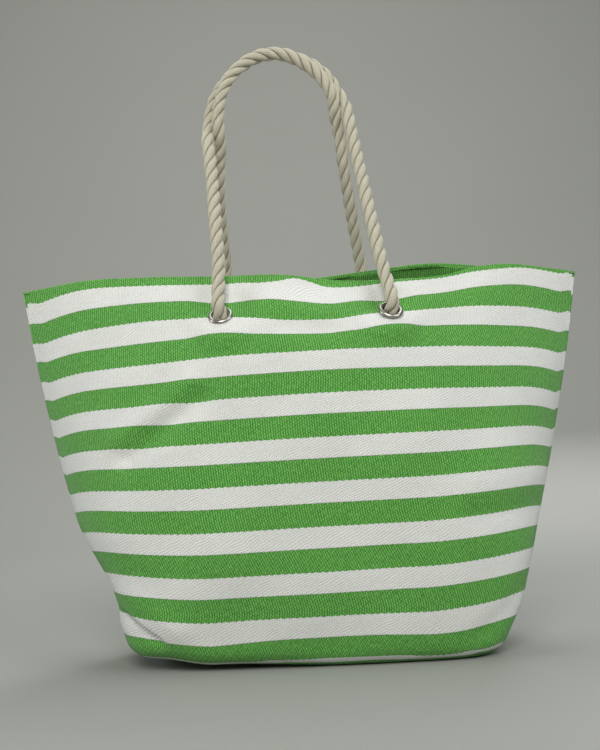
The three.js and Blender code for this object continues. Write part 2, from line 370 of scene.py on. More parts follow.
def striped_cloth():
    graph = Graph("striped_cloth")
    across, down = cloth_places(graph)
    place = graph.vector(across, down)
    # Positive below the middle of a green stripe, whose lower edge is scalloped more than the upper one.
    shifted = graph.math("ADD", down, GREEN_WIDTH / 2 + STRIPE_PITCH / 2)
    in_pitch = graph.math("FLOORED_MODULO", shifted, STRIPE_PITCH)
    from_middle = graph.math("SUBTRACT", in_pitch, STRIPE_PITCH / 2)
    scallop_size = graph.ramp(from_middle, -2.0, 2.0, 0.08, 0.34)
    scallop = graph.times(wave(graph, across, SCALLOP_PITCH), scallop_size)
    ragged = graph.math("SUBTRACT", graph.noise(place, 0.5), 0.5)
    off = graph.math("ABSOLUTE", graph.math("ADD", from_middle, graph.math("ADD", scallop, ragged)))
    green = graph.ramp(off, GREEN_WIDTH / 2 + EDGE_BLUR, GREEN_WIDTH / 2 - EDGE_BLUR)
    # Painted shadow: a thin dark line along the top edge of each green stripe, where it meets the white
    # above.
    from_top_edge = graph.math("ABSOLUTE", graph.math("ADD", from_middle, GREEN_WIDTH / 2))
    top_edge = graph.ramp(from_top_edge, 0.8, 0.1)

    # Yarns of uneven thickness leave specks, longer along the ribs.
    specks = graph.noise(graph.vector(across, graph.times(down, 0.45)), 0.6, 1.0)
    specks = graph.math("SUBTRACT", specks, 0.5)
    # Green: upright ribs of staggered floats.
    floats = graph.times(wave(graph, across, FLOAT_ACROSS), wave(graph, down, FLOAT_DOWN))
    rib = wave(graph, across, RIB_PITCH)
    green_height = graph.total(0.5, (floats, 0.17), (rib, 0.25), (specks, 0.8))
    # White: fine slanting twill, a little wavy.
    wander = graph.times(graph.noise(place, 0.06, 1.0), 5.0)
    slant = graph.math("ADD", graph.total(down, (across, 0.45)), wander)
    twill = wave(graph, slant, TWILL_PITCH)
    threads = wave(graph, across, THREAD_PITCH)
    white_height = graph.total(0.5, (twill, 0.2), (threads, 0.16), (specks, 0.3))
    height = graph.blend(green, white_height, green_height)

    # Uneven yarns: long streaks along the warp and the weft, and soft blotches.
    upright = graph.noise(graph.vector(across, graph.times(down, 0.05)), 1.3, 2.0)
    level = graph.noise(graph.vector(graph.times(across, 0.04), down), 1.1, 2.0)
    blotch = graph.noise(place, 0.018, 3.0)
    streaks = (upright, graph.blend(green, 0.12, 0.5))
    tone = graph.total(graph.blend(green, 0.8, 0.61), streaks, (level, 0.12), (blotch, 0.16))
    # The painted shadow line darkens the tone at each green stripe's top edge.
    tone = graph.times(tone, graph.total(1.0, (top_edge, -0.3)))
    # Painted shade and highlight: the weave is coloured lighter where it rises and darker in its gaps; the
    # specks in these heights are the yarns' own uneven colour.
    green_colour = graph.mix(graph.ramp(green_height, 0.2, 0.95), GREEN, GREEN_FLOAT_HIGHLIGHT)
    white_colour = graph.mix(graph.ramp(white_height, 0.1, 0.6), WHITE_GAP_SHADE, WHITE)
    colour = graph.shade(graph.mix(green, white_colour, green_colour), tone)
    graph.bump(graph.total(height, (level, 0.35)), 0.0005, 1.0)
    graph.surface(colour, 0.88, Sheen_Weight=0.18, Sheen_Roughness=0.5, Specular_IOR_Level=0.25)
    return graph.material


def lining_cloth():
    graph = Graph("lining_cloth")
    across, down = cloth_places(graph)
    weave = graph.times(wave(graph, across, LINING_PITCH), wave(graph, down, LINING_PITCH))
    uneven = graph.noise(graph.vector(across, down), 0.05, 3.0)
    slub = graph.noise(graph.vector(graph.times(across, 0.08), down), 0.9, 2.0)
    height = graph.total(graph.times(slub, 0.4), (weave, 0.4))
    tone = graph.total(0.86, (uneven, 0.2))
    colour = graph.shade(graph.mix(slub, LINING_DEEP, LINING_COLOUR), tone)
    graph.bump(height, 0.0002, 0.8)
    graph.surface(colour, 0.9, Sheen_Weight=0.15, Specular_IOR_Level=0.25)
    return graph.material


def rope_cotton():
    graph = Graph("rope_cotton")
    places = graph.node("ShaderNodeUVMap", uv_map="strand").outputs[0]
    parts = graph.node("ShaderNodeSeparateXYZ")
    graph.feed(parts.inputs[0], places)
    angle, along = parts.outputs[0], parts.outputs[1]
    # angle runs from -1 to 1 round each strand and along is in centimetres.
    yarn_turn = graph.total(graph.times(angle, 3.6), (along, 4.6))
    yarn = wave(graph, yarn_turn, 1)
    fibre = graph.noise(graph.vector(yarn_turn, graph.times(along, 0.35)), 5.0, 4.0, 0.65)
    soft = graph.noise(graph.vector(angle, along), 0.7, 2.0)
    height = graph.total(graph.times(fibre, 1.1), (yarn, 0.34))
    # Painted shade: the grooves between the strands are coloured darker, and the yarn wave darkens the tone
    # a little in its troughs.
    groove = graph.ramp(graph.math("ABSOLUTE", angle), 0.7, 1.0)
    tone = graph.total(0.66, (fibre, 0.5), (yarn, 0.04), (soft, 0.12))
    colour = graph.shade(graph.mix(groove, ROPE_COLOUR, ROPE_GROOVE_SHADE), tone)
    graph.bump(height, 0.0007, 0.9)
    graph.surface(colour, 0.95, Sheen_Weight=0.35, Sheen_Roughness=0.6, Specular_IOR_Level=0.2)
    return graph.material


def nickel_plate():
    graph = Graph("nickel_plate")
    place = graph.node("ShaderNodeTexCoord").outputs["Object"]
    smear = graph.noise(place, 180.0, 3.0)
    fine = graph.noise(place, 900.0, 2.0)
    roughness = graph.total(0.24, (smear, 0.1))
    colour = graph.mix(smear, NICKEL_DARK, NICKEL_LIGHT)
    graph.bump(fine, 0.00001, 0.3)
    graph.surface(colour, roughness, Metallic=1.0)
    return graph.material


def thread():
    graph = Graph("thread")
    place = graph.node("ShaderNodeTexCoord").outputs["Object"]
    ply = graph.noise(place, 2500.0, 2.0)
    graph.bump(ply, 0.0001, 0.6)
    tone = graph.total(0.75, (ply, 0.3))
    graph.surface(graph.shade(THREAD_COLOUR, tone), 0.8, Sheen_Weight=0.2)
    return graph.material


def stage_paint():
    graph = Graph("stage_paint")
    place = graph.node("ShaderNodeTexCoord").outputs["Object"]
    mottle = graph.noise(place, 1.2, 2.0)
    tone = graph.total(0.975, (mottle, 0.05))
    graph.surface(graph.shade(STAGE_GREY, tone), 0.95, Specular_IOR_Level=0.1)
    return graph.material


STRIPED = striped_cloth()
LINING_CLOTH = lining_cloth()
ROPE = rope_cotton()
NICKEL = nickel_plate()
THREAD = thread()

# ---- ropes

# Routes of the two handles above the eyelets, left to right, in millimetres.
FRONT_ROUTE = [
    (-82, -68, 358), (-82, -61, 382), (-84, -50, 416), (-86, -37, 450), (-88, -26, 478), (-90, -16, 509),
    (-90, -10, 533), (-88, -8, 553), (-82, -8, 570), (-71, -8, 586), (-58, -8, 599), (-40, -8, 610),
    (-18, -8, 614), (3, -8, 609), (22, -8, 600), (37, -8, 586), (49, -8, 563), (56, -10, 535),
    (60, -17, 504), (64, -29, 470), (67, -39, 442), (71, -51, 409), (75, -61, 378), (79, -68, 356),
]
BACK_ROUTE = [
    (-81, 68, 358), (-80, 56, 400), (-82, 42, 438), (-83, 29, 470), (-82, 18, 502), (-81, 11, 530),
    (-80, 8, 556), (-76, 8, 577), (-68, 8, 594), (-55, 8, 609), (-38, 8, 619), (-17, 8, 622),
    (0, 8, 617), (17, 8, 606), (31, 8, 591), (40, 8, 573), (44, 8, 552), (47, 10, 528),
    (50, 16, 502), (55, 28, 473), (61, 42, 438), (68, 56, 399), (76, 68, 358),
]
ROPE_STEP = 1.5
STRAND_LAY = 44.0
STRAND_RADIUS = 4.15
STRAND_OFFSET = ROPE_RADIUS - STRAND_RADIUS
STRAND_SIDES = 20
CROSSING_SHIFT = 16.0        # how far the ropes swap in depth over the top
CROSSING_SPREAD = 1.8        # how far each moves aside where they pass
# The rope that goes back rises by this share of its height above the camera's; the other one sinks.
CROSSING_RISE, CROSSING_EYE = 0.0172, 184
CURVE_POINTS = 24            # between one point of a route and the next
UV_PER_MM = 0.1
TAPER_LENGTH, TAPER_TIP = 5, 0.6     # a free end is rounded off over this length


def smooth_path(points, step):
    """A centripetal Catmull-Rom curve through the points, in even steps."""
    points = np.asarray(points, float)
    ends = (2 * points[0] - points[1], 2 * points[-1] - points[-2])
    p = np.vstack([ends[0], points, ends[1]])
    line = []
    for i in range(1, len(p) - 2):
        gaps = [np.linalg.norm(p[i + k] - p[i + k - 1]) ** 0.5 for k in range(3)]
        t0, t1 = 0.0, gaps[0]
        t2, t3 = t1 + gaps[1], t1 + gaps[1] + gaps[2]
        t = np.linspace(t1, t2, CURVE_POINTS, endpoint=i == len(p) - 3)[:, None]
        a1 = (t1 - t) / (t1 - t0) * p[i - 1] + (t - t0) / (t1 - t0) * p[i]
        a2 = (t2 - t) / (t2 - t1) * p[i] + (t - t1) / (t2 - t1) * p[i + 1]
        a3 = (t3 - t) / (t3 - t2) * p[i + 1] + (t - t2) / (t3 - t2) * p[i + 2]
        b1 = (t2 - t) / (t2 - t0) * a1 + (t - t0) / (t2 - t0) * a2
        b2 = (t3 - t) / (t3 - t1) * a2 + (t - t1) / (t3 - t1) * a3
        line.append((t2 - t) / (t2 - t1) * b1 + (t - t1) / (t2 - t1) * b2)
    line = np.vstack(line)
    along = line_lengths(line)
    return points_at(np.linspace(0, along[-1], round(along[-1] / step) + 1), along, line)


def swap_over(line, side_y):
    """Over the top the back rope lies in front of the front one, so the two swap in depth."""
    line = line.copy()
    left = line[:, 0] < -15
    low, high = np.where(left, 498, 528), np.where(left, 548, 578)
    share = smoothstep(line[:, 2], low, high)
    line[:, 1] -= side_y * CROSSING_SHIFT * share
    line[:, 2] -= side_y * CROSSING_RISE * (line[:, 2] - CROSSING_EYE) * share
    beside = CROSSING_SPREAD * 4 * share * (1 - share)
    line[:, 0] += side_y * beside * np.where(left, 1, -1)
    return line


def tube_frames(line):
    """Two directions square to the line at each point, carried along without twist."""
    ahead = np.gradient(line, axis=0)
    ahead /= np.linalg.norm(ahead, axis=1, keepdims=True)
    side = np.cross(ahead[0], (0.13, 0.95, 0.21))        # any way that no rope starts in
    first = []
    for direction in ahead:
        side = side - direction * (side @ direction)
        side /= np.linalg.norm(side)
        first.append(side)
    first = np.array(first)
    return first, np.cross(ahead, first)


def rope_section():
    """One lobe of the three-strand outline: polar angle, radius and place round the strand."""
    half_gap = STRAND_OFFSET * math.sin(math.pi / 3)
    groove = STRAND_OFFSET * 0.5 + math.sqrt(STRAND_RADIUS ** 2 - half_gap ** 2)
    reach = math.atan2(groove * math.sin(math.pi / 3), groove * 0.5 - STRAND_OFFSET)
    turn = np.linspace(-reach, reach, STRAND_SIDES + 1)
    x = STRAND_OFFSET + STRAND_RADIUS * np.cos(turn)
    y = STRAND_RADIUS * np.sin(turn)
    return np.arctan2(y, x), np.hypot(x, y), turn / reach


def rope_mesh(name, line, taper_end=False):
    """A three-strand rope along a line, as one closed tube."""
    polar, radius, place = rope_section()
    angles = np.concatenate([polar[:-1] + k * 2 * math.pi / 3 for k in range(3)])
    radii = np.tile(radius[:-1], 3)
    sides = len(angles)
    first, second = tube_frames(line)
    along = np.arange(len(line)) * np.linalg.norm(line[1] - line[0])
    # Hand-laid strands are not quite even.
    swell = 1 + 0.018 * np.sin(along / 31 + 1.3) + 0.012 * np.sin(along / 9.7)
    lay = 2 * math.pi * (along / STRAND_LAY + 0.03 * np.sin(along / 57))
    turn = lay[:, None] + angles[None, :]
    size = swell[:, None] * radii[None, :]
    if taper_end:
        size *= np.sqrt(np.clip((along[-1] - along + TAPER_TIP) / TAPER_LENGTH, 0, 1))[:, None]
    points = (line[:, None, :] + size[..., None] * (
        np.cos(turn)[..., None] * first[:, None, :] + np.sin(turn)[..., None] * second[:, None, :]))
    faces = grid_faces(len(line), sides, wrap=True).tolist()
    faces += [range(sides)[::-1], range((len(line) - 1) * sides, len(line) * sides)]
    obj = mesh_object(name, points.reshape(-1, 3), faces)
    strand_uv(obj, sides, place, along)
    return obj


def strand_uv(obj, sides, place, along):
    """UV map: u from -1 to 1 round each strand, v in centimetres along the rope."""
    layer = obj.data.uv_layers.new(name="strand")
    per_lobe = len(place) - 1
    start = place[np.arange(sides) % per_lobe]
    end = place[np.arange(sides) % per_lobe + 1]
    values = np.zeros((len(obj.data.loops), 2), np.float32)
    for polygon in obj.data.polygons:
        loops = list(polygon.loop_indices)
        verts = [obj.data.loops[i].vertex_index for i in loops]
        if len(verts) > 4:
            continue
        columns = [v % sides for v in verts]
        first = min(columns) if max(columns) - min(columns) == 1 else max(columns)
        for loop, vert, column in zip(loops, verts, columns):
            u = start[first] if column == first else end[first]
            values[loop] = (u, along[vert // sides] * UV_PER_MM)
    layer.data.foreach_set("uv", values.ravel())


THROUGH = (-17.0, -8.0, 2.6)         # along the eyelet's axis, from the knot to the mouth
BEYOND_OUT, BEYOND_UP = 8.6, 2.6     # the next point, where the rope bends up outside the mouth
HINGE_OFFSET = 9.8                   # from the cloth to the hinge's line, as in part.mjs
KNOT_OFFSET = 8.0                    # from the cloth in to the knot


def rope_route(route, side_y):
    """From the knot on the left, out through the eyelet, over and back in on the right."""
    ends = []
    for side_x in (-1, 1):
        point, outward = eyelet_place(side_x, side_y)
        inner = [point + outward * t for t in THROUGH]
        inner.append(point + outward * BEYOND_OUT + Vector((0, 0, BEYOND_UP)))
        ends.append([tuple(p) for p in inner])
    return ends[0] + list(route) + ends[1][::-1]


HINGE = eyelet_place(1, -1, 0)[0] + eyelet_place(1, -1, 0)[1] * HINGE_OFFSET


def overhand_knot(label, hand, side_x, side_y):
    """A stopper knot with its free end hanging in the bag."""
    point, outward = eyelet_place(side_x, side_y)
    inward = -outward
    ways = Vector((side_x, 0, 0)), Vector((0, 0, -1))
    side, down = [(way - inward * way.dot(inward)).normalized() for way in ways]
    base = point + inward * KNOT_OFFSET
    # One turn round the standing part, then out through the turn and down.
    steps = [
        (0, 0, 0), (0, 0, 8), (2, -5, 17), (9, -9, 23), (15, 0, 19), (11, 9, 10), (0, 13, 7),
        (-11, 9, 9), (-15, 0, 15), (-9, -8, 20), (0, -3, 24), (5, 6, 21), (4, 16, 13),
    ]
    line = [base + side * a + down * b + inward * c for a, b, c in steps]
    last = line[-1]
    line += [last + Vector((0, -side_y, -t)) for t in (10, 20, 28)]
    path = smooth_path([tuple(p) for p in line], ROPE_STEP)
    obj = rope_mesh(f"{label}_{hand}_knot", path, taper_end=True)
    finish_piece(obj, ROPE, f"{label}_{hand}_rope_knot")
    return obj


def make_ropes():
    for label, route, side_y in (("front", FRONT_ROUTE, -1), ("back", BACK_ROUTE, 1)):
        line = swap_over(smooth_path(rope_route(route, side_y), ROPE_STEP), side_y)
        rope = rope_mesh(f"{label}_rope", line)
        rope.data.materials.append(ROPE)
        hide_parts(f"{label}_rope_handle")
        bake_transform(rope)
        knots = [overhand_knot(label, hand, side_x, side_y) for hand, side_x in HANDS]


make_ropes()

# ---- cloth

COLUMNS = 240
HEM_ROLL = (CLOTH + LAYER_GAP + FACING) / 2
HEM_LIP = 2.5                # how far the turned rim reaches down inside
WALL_STEP = 2.4
BASE_STEPS = 16
CORNER_STEPS = 7
ROLL_STEPS = 9
# The visible shells are a little thinner than in CAD, so that folded layers keep apart.
PANEL_SHELL, FACING_SHELL = 1.2, FACING - 0.25
FACING_TOP, FACING_ROWS = BAG_HEIGHT - 2.2, 26
LINING_TOP = HEM_LOW - 0.5

# Height of the rim above or below level, by place across.
FRONT_RIM = [
    (-285, 0), (-200, 4), (-110, 0), (-30, -2), (40, -10),
    (110, -9), (140, -5), (172, 3), (205, 7), (285, 3),
]
BACK_RIM = [(-285, 0), (-70, 0), (20, 11), (90, 18), (150, 19), (190, 14), (240, 3), (285, 0)]
BACK_LEAN = 0.85             # how far the back rim leans forward for each millimetre that it rises
RIM_WAVE_LOW = 290
EYELET_CLEAR = 341           # the back cloth stays put up to here, round its eyelets

# Soft folds: the two ends (place across, height), the reach to each side and the outward shift.
FRONT_FOLDS = [
    ((-112, 264), (-182, 212), 11, 3.8), ((-102, 250), (-172, 196), 10, -6.0),
    ((148, 132), (216, 138), 12, -3.0), ((150, 158), (220, 166), 18, 2.0),
    ((-190, 72), (-130, 34), 13, 2.5),
    ((-30, 342), (14, 330), 13, 2.6), ((-24, 316), (20, 308), 11, -2.4),
    ((60, 300), (150, 318), 16, -1.6), ((-200, 300), (-120, 316), 17, -1.6),
    ((196, 60), (140, 12), 12, -3.0), ((-60, 96), (40, 78), 26, 1.4),
]
BACK_FOLDS = [
    ((120, 262), (176, 200), 14, -2.6), ((98, 256), (150, 186), 15, 1.8),
    ((-210, 150), (-140, 128), 14, -2.8), ((188, 52), (120, 12), 9, -4.5),
    ((-190, 56), (-130, 14), 10, -4.0), ((-40, 330), (30, 322), 16, 2.0), ((-30, 120), (70, 96), 28, 1.6),
]
# A sharp step across the front's left corner, given as a fold: the cloth below it lies further in.
CORNER_STEP = ((-206, 62), (-146, 22), 24, -8.0)

# Within EYELET_FLAT of an eyelet's middle the cloth is flat and tilted. It has all its folds beyond
# FOLDS_FULL and no tilt beyond TILT_END.
EYELET_FLAT, FOLDS_FULL, TILT_END = 13, 36, 40
GROOVE_DEPTH, GROOVE_PLACE, GROOVE_REACH = 0.45, 4, 2.4      # the groove beside the side seams
SEAM_STIFF = 22              # the folds fade out over this width beside the seams


def from_line(x, z, start, end):
    """Distances along and beside the line from start to end, and its length."""
    (x0, z0), (x1, z1) = start, end
    length = math.hypot(x1 - x0, z1 - z0)
    ahead_x, ahead_z = (x1 - x0) / length, (z1 - z0) / length
    along = (x - x0) * ahead_x + (z - z0) * ahead_z
    beside = (x - x0) * ahead_z - (z - z0) * ahead_x
    return along, beside, length


def crease(x, z, fold):
    start, end, reach, shift = fold
    along, beside, length = from_line(x, z, start, end)
    past = np.maximum(np.maximum(-along, along - length), 0)
    return shift * np.exp(-(beside ** 2 + past ** 2) / reach ** 2)


def corner_step(x, z):
    start, end, reach, shift = CORNER_STEP
    along, below, length = from_line(x, z, start, end)
    ends = 1 - smoothstep(along, length - 8, length + 10)
    return shift * smoothstep(below, -2, 2.4) * np.exp(-np.maximum(below, 0) / reach) * ends


def folds(x, z, side_y):
    """Outward shift of the cloth: a loose unevenness, folds, the tilt at the eyelets, the seams' groove."""
    total = 1.2 * np.sin(x / 43 + z / 90 + side_y) * np.cos(z / 49 + 0.6)
    total = total + 0.5 * np.sin(x / 17 - z / 26 + 2 * side_y)
    for fold in FRONT_FOLDS if side_y < 0 else BACK_FOLDS:
        total = total + crease(x, z, fold)
    if side_y < 0:
        total = total + corner_step(x, z)
    for side_x in (-1, 1):
        away = np.hypot(x - side_x * EYELET_X, z - EYELET_Z)
        loose = smoothstep(away, EYELET_FLAT, FOLDS_FULL)
        tilted = 1 - smoothstep(away, EYELET_FLAT, TILT_END)
        total = total * loose - math.tan(EYELET_TILT) * (z - EYELET_Z) * tilted
    from_seam = loft(z, 1) - np.abs(x)
    groove = GROOVE_DEPTH * np.exp(-((from_seam - GROOVE_PLACE) / GROOVE_REACH) ** 2)
    total = total * smoothstep(from_seam, 0, SEAM_STIFF) - groove
    return total * smoothstep(z, 4, 26)


def tuck(x, z):
    """Sideways and upward shift: both lower corners are pulled in and the left one is lifted."""
    push = 14 * (1 - smoothstep(z, 66, 140)) - 5 * (1 - smoothstep(z, 30, 60))
    lift = 5 * smoothstep(-x, -30, 90) + 6 * smoothstep(-x, 96, 150)
    right = 11 * (1 - smoothstep(z, -5, 56)) * smoothstep(x, 96, 196)
    return push * smoothstep(-x, 96, 196) - right, lift * (1 - smoothstep(z, 4, 74))


def wall_grid(heights, inset, side_y):
    """Rows of points of a layer of the front or back wall, left seam to right seam."""
    rows = []
    for z in heights:
        x, depth = half_section(z, inset, COLUMNS)
        rows.append(np.stack([x, side_y * np.maximum(depth, SEAM_GAP / 2), np.full_like(x, z)], 1))
    return np.array(rows)


def wall_heights(top, inset):
    """Heights of a layer's wall rows, down to where the base edge starts to turn."""
    low = BASE_EDGE_RADIUS + inset
    return np.linspace(top, low, round((top - low) / WALL_STEP) + 1)


def base_grid(inset, side_y):
    """Rows round the base edge and across the flat base to the middle seam."""
    angles = math.pi / 2 * np.arange(1, CORNER_STEPS + 1) / CORNER_STEPS
    rows = list(wall_grid(inset + BASE_EDGE_RADIUS * (1 - np.sin(angles)), inset, side_y))
    edge = rows[-1]
    for step in range(1, BASE_STEPS + 1):
        row = edge.copy()
        share = 1 - step / BASE_STEPS
        row[:, 1] = side_y * (np.abs(edge[:, 1]) * share + SEAM_GAP / 2 * (1 - share))
        rows.append(row)
    return np.array(rows)


def hem_roll_grid(top_row, inward):
    """The rim: the cloth turns over a small roll into the bag."""
    from_end = COLUMNS / 2 - np.abs(np.arange(COLUMNS + 1) - COLUMNS / 2)
    radius = HEM_ROLL * (0.2 + 0.8 * smoothstep(from_end, 0, 7))
    rows = []
    for step in range(ROLL_STEPS, 0, -1):
        angle = math.pi * step / ROLL_STEPS
        row = top_row + inward * (radius * (1 - math.cos(angle)))[:, None]
        row[:, 2] += radius * math.sin(angle)
        rows.append(row)
    lip = rows[0].copy()
    lip[:, 2] -= HEM_LIP
    return np.array([lip, *rows])


def rim_rise(x, z, side_y):
    if side_y < 0:
        return curve_through(FRONT_RIM, x) * smoothstep(z, RIM_WAVE_LOW, BAG_HEIGHT)
    return curve_through(BACK_RIM, x) * smoothstep(z, EYELET_CLEAR, BAG_HEIGHT)


def shape_cloth(grid, side_y):
    """Moves a layer's points by the wave of the rim, the folds and the tucked-in corners."""
    x, z = grid[..., 0], grid[..., 2]
    out = grid + grid_normals(grid) * side_y * folds(x, z, side_y)[..., None]
    rise = rim_rise(x, z, side_y)
    push, lift = tuck(x, z)
    out[..., 0] += push
    out[..., 2] += rise + lift
    if side_y > 0:
        out[..., 1] -= rise * BACK_LEAN
    return out


def lengths_along(grid, axis):
    """Distance along the cloth from the first row or column."""
    steps = np.linalg.norm(np.diff(grid, axis=axis), axis=2)
    first = np.zeros_like(np.take(steps, [0], axis))
    return np.concatenate([first, np.cumsum(steps, axis=axis)], axis=axis)


# How much narrower the green strip at the rim is, by place across.
BACK_STRIP_LESS = [(-285, -3), (-240, 1), (0, 2), (240, 1), (285, -3)]
FRONT_STRIP_LESS = [
    (-285, 3), (-230, 3.5), (-80, 3), (-60, 3), (-42, 2), (-26, 4), (-8, 9), (6, 6), (18, 2), (40, 1.5),
    (90, 5.5), (140, 3), (180, -2), (285, -1.5),
]
# How far the front's stripes hang, most of all at SAG_HEIGHT; below 0 they ride up.
SAG = [
    (-285, 0), (-66, 1), (-42, 5), (0, 8.5), (23, 8), (43, 3), (64, -2), (105, -5), (146, -4),
    (170, -1), (215, 2), (245, 2), (285, 0),
]
SAG_HEIGHT, SAG_REACH = 318, 26
STRIPE_SHARE = 1.025         # millimetres of pattern to each millimetre of cloth
RIM_STRIP = 17.6             # the green strip at the rim, before it is made narrower
# How crooked the stripes run, SLANT_SPAN across: at SLANT_HEIGHT, and what twice the height adds.
SLANT, SLANT_GAIN, SLANT_HEIGHT, SLANT_SPAN = 5.3, 2.8, 190, 280
# They curve up towards the seams, below SMILE_TOP and outside SMILE_START of the span.
SMILE_LEFT, SMILE_RIGHT, SMILE_POWER, SMILE_START, SMILE_TOP = 45, 55, 1.5, 0.35, 240
SEAM_TURN_UP = 5             # and further right beside the seams
# How much lower they lie at the foot: side, amount, and from where to where across it grows.
FOOT_DROPS = [(-1, 5, -30, 90), (-1, 4, 20, 100), (-1, 4, 100, 160), (1, 6, 40, 150)]
# The base's stripes start afresh past the ninth green stripe, where the pattern jumps on.
BASE_SEAM, BASE_JUMP = 374, 16


def stripe_place(x, height, side_y):
    """Millimetres below the first white stripe's top; height is the cloth's length up from the base."""
    share = x / SLANT_SPAN
    crooked = SLANT * share + SLANT_GAIN * share * (height - SLANT_HEIGHT) / SLANT_HEIGHT
    left, right = np.maximum(-share - SMILE_START, 0), np.maximum(share - SMILE_START, 0)
    smile = SMILE_LEFT * left ** SMILE_POWER + SMILE_RIGHT * right ** SMILE_POWER
    smile = smile * np.clip((SMILE_TOP - height) / SMILE_TOP, 0, 1)
    less = FRONT_STRIP_LESS if side_y < 0 else BACK_STRIP_LESS
    strip = curve_through(less, x) * smoothstep(height, 330, 358)
    foot = sum(drop * smoothstep(side * x, start, full) for side, drop, start, full in FOOT_DROPS)
    foot = foot * (1 - smoothstep(height, -12, 50))
    sag = 0
    if side_y < 0:
        sag = curve_through(SAG, x) * np.exp(-((height - SAG_HEIGHT) / SAG_REACH) ** 2)
    ends = SEAM_TURN_UP * smoothstep(np.abs(np.linspace(-1, 1, x.shape[-1])), 0.93, 1)
    plain = STRIPE_SHARE * (BAG_HEIGHT - height) - RIM_STRIP
    down = plain + crooked + smile + strip + ends - foot - sag
    return down + BASE_JUMP * smoothstep(down, BASE_SEAM, BASE_SEAM + 2.5)


def cloth_shell(name, grid, thickness, side_y, down):
    """A closed sheet of cloth whose outer face is the grid. down is its place along the stripes."""
    rows, columns = grid.shape[:2]
    inner = grid - grid_normals(grid) * side_y * thickness
    points = np.concatenate([grid.reshape(-1, 3), inner.reshape(-1, 3)])
    count = rows * columns
    outer_faces = grid_faces(rows, columns)
    inner_faces = grid_faces(rows, columns, start=count, flip=True)
    top, bottom = np.arange(columns), (rows - 1) * columns + np.arange(columns)[::-1]
    left, right = np.arange(rows)[::-1] * columns, np.arange(rows) * columns + columns - 1
    border = np.concatenate([top[:-1], right[:-1], bottom[:-1], left[:-1]])
    after = np.roll(border, -1)
    edge_faces = np.stack([border, border + count, after + count, after], 1)
    obj = mesh_object(name, points, np.concatenate([outer_faces, inner_faces, edge_faces]).tolist())
    for attribute, place in (("cloth_across", lengths_along(grid, 1)), ("cloth_down", down)):
        layer = obj.data.attributes.new(attribute, "FLOAT", "POINT")
        layer.data.foreach_set("value", (np.tile(place.ravel(), 2) * MM).astype(np.float32))
    clean(obj)
    return obj


def clean(obj):
    """Takes out the flat faces where rows meet in one point, and turns every face outward."""
    work = bmesh.new()
    work.from_mesh(obj.data)
    bmesh.ops.dissolve_degenerate(work, dist=2e-5, edges=work.edges)
    bmesh.ops.recalc_face_normals(work, faces=work.faces)
    work.to_mesh(obj.data)
    work.free()
    obj.data.shade_smooth()


def make_panel(label, side_y):
    """The striped outer cloth of one side. Returns its place along the stripes at the rim."""
    wall = wall_grid(wall_heights(BAG_HEIGHT - HEM_ROLL, 0), 0, side_y)
    inward = grid_normals(wall)[0] * -side_y
    inward[:, 2] = 0
    plain = np.concatenate([hem_roll_grid(wall[0], inward), wall, base_grid(0, side_y)])
    grid = shape_cloth(plain, side_y)
    x = plain[..., 0]
    base_row = ROLL_STEPS + len(wall)
    lengths = lengths_along(plain, 0)
    height = lengths[base_row] - lengths
    down = stripe_place(x, height, side_y)
    if side_y > 0:
        # The raised rim takes its length from all of the cloth below it.
        lengths = lengths_along(grid, 0)
        stretched = lengths[base_row] - lengths
        extra = STRIPE_SHARE * (stretched[0] - height[0])
        down = stripe_place(x, stretched, side_y) + extra * smoothstep(stretched, 100, 340)
    obj = cloth_shell(f"{label}_striped_panel", grid, PANEL_SHELL, side_y, down)
    finish_piece(obj, STRIPED, f"{label}_panel")
    return down[0]


def make_facing(label, side_y, rim_place):
    """The turned-in hem, whose stripes go on from the panel's place at the rim."""
    heights = np.linspace(FACING_TOP, HEM_LOW, FACING_ROWS)
    grid = shape_cloth(wall_grid(heights, FACING_INSET, side_y), side_y)
    down = rim_place - lengths_along(grid, 0)
    obj = cloth_shell(f"{label}_facing", grid, FACING_SHELL, side_y, down)
    finish_piece(obj, STRIPED, f"{label}_hem_facing")


def make_lining(label, side_y):
    wall = wall_grid(wall_heights(LINING_TOP, FACING_INSET), FACING_INSET, side_y)
    grid = shape_cloth(np.concatenate([wall, base_grid(FACING_INSET, side_y)]), side_y)
    obj = cloth_shell(f"{label}_lining_bag", grid, LINING, side_y, lengths_along(grid, 0))
    finish_piece(obj, LINING_CLOTH, f"{label}_lining")


POCKET_HALF_WIDTH, POCKET_LOW, POCKET_TOP = 85, 140, 262
POCKET_INSET = FACING_INSET + LINING + LAYER_GAP
POCKET_SHELL = 1.0
POCKET_HEM, POCKET_HEM_RISE = 16, 0.5        # the mouth's hem, and how far it stands up from the pocket
POCKET_STAND = 4.0


def patch_grid(x, heights, inset, side_y):
    """Points of a patch on a wall, in rows from the top down."""
    rows = [np.stack([x, side_y * depth_at(x, section(z, inset)), np.full_like(x, z)], 1) for z in heights]
    return shape_cloth(np.array(rows), side_y)


def pocket_stand(x, z):
    """The pocket's mouth stands a little away from the lining."""
    return POCKET_STAND * (1 - (x / POCKET_HALF_WIDTH) ** 2) * smoothstep(z, POCKET_LOW + 40, POCKET_TOP)


def make_pocket():
    x = np.linspace(-POCKET_HALF_WIDTH, POCKET_HALF_WIDTH, 91)
    heights = np.linspace(POCKET_TOP, POCKET_LOW, 80)
    grid = patch_grid(x, heights, POCKET_INSET, 1)
    hem = POCKET_HEM_RISE * smoothstep(heights, POCKET_TOP - POCKET_HEM - 1, POCKET_TOP - POCKET_HEM)
    grid[..., 1] -= pocket_stand(x[None, :], heights[:, None]) + hem[:, None]
    down = 40 + lengths_along(grid, 0)
    obj = cloth_shell("slip_pocket", grid, POCKET_SHELL, 1, down)
    finish_piece(obj, LINING_CLOTH, "inner_slip_pocket")


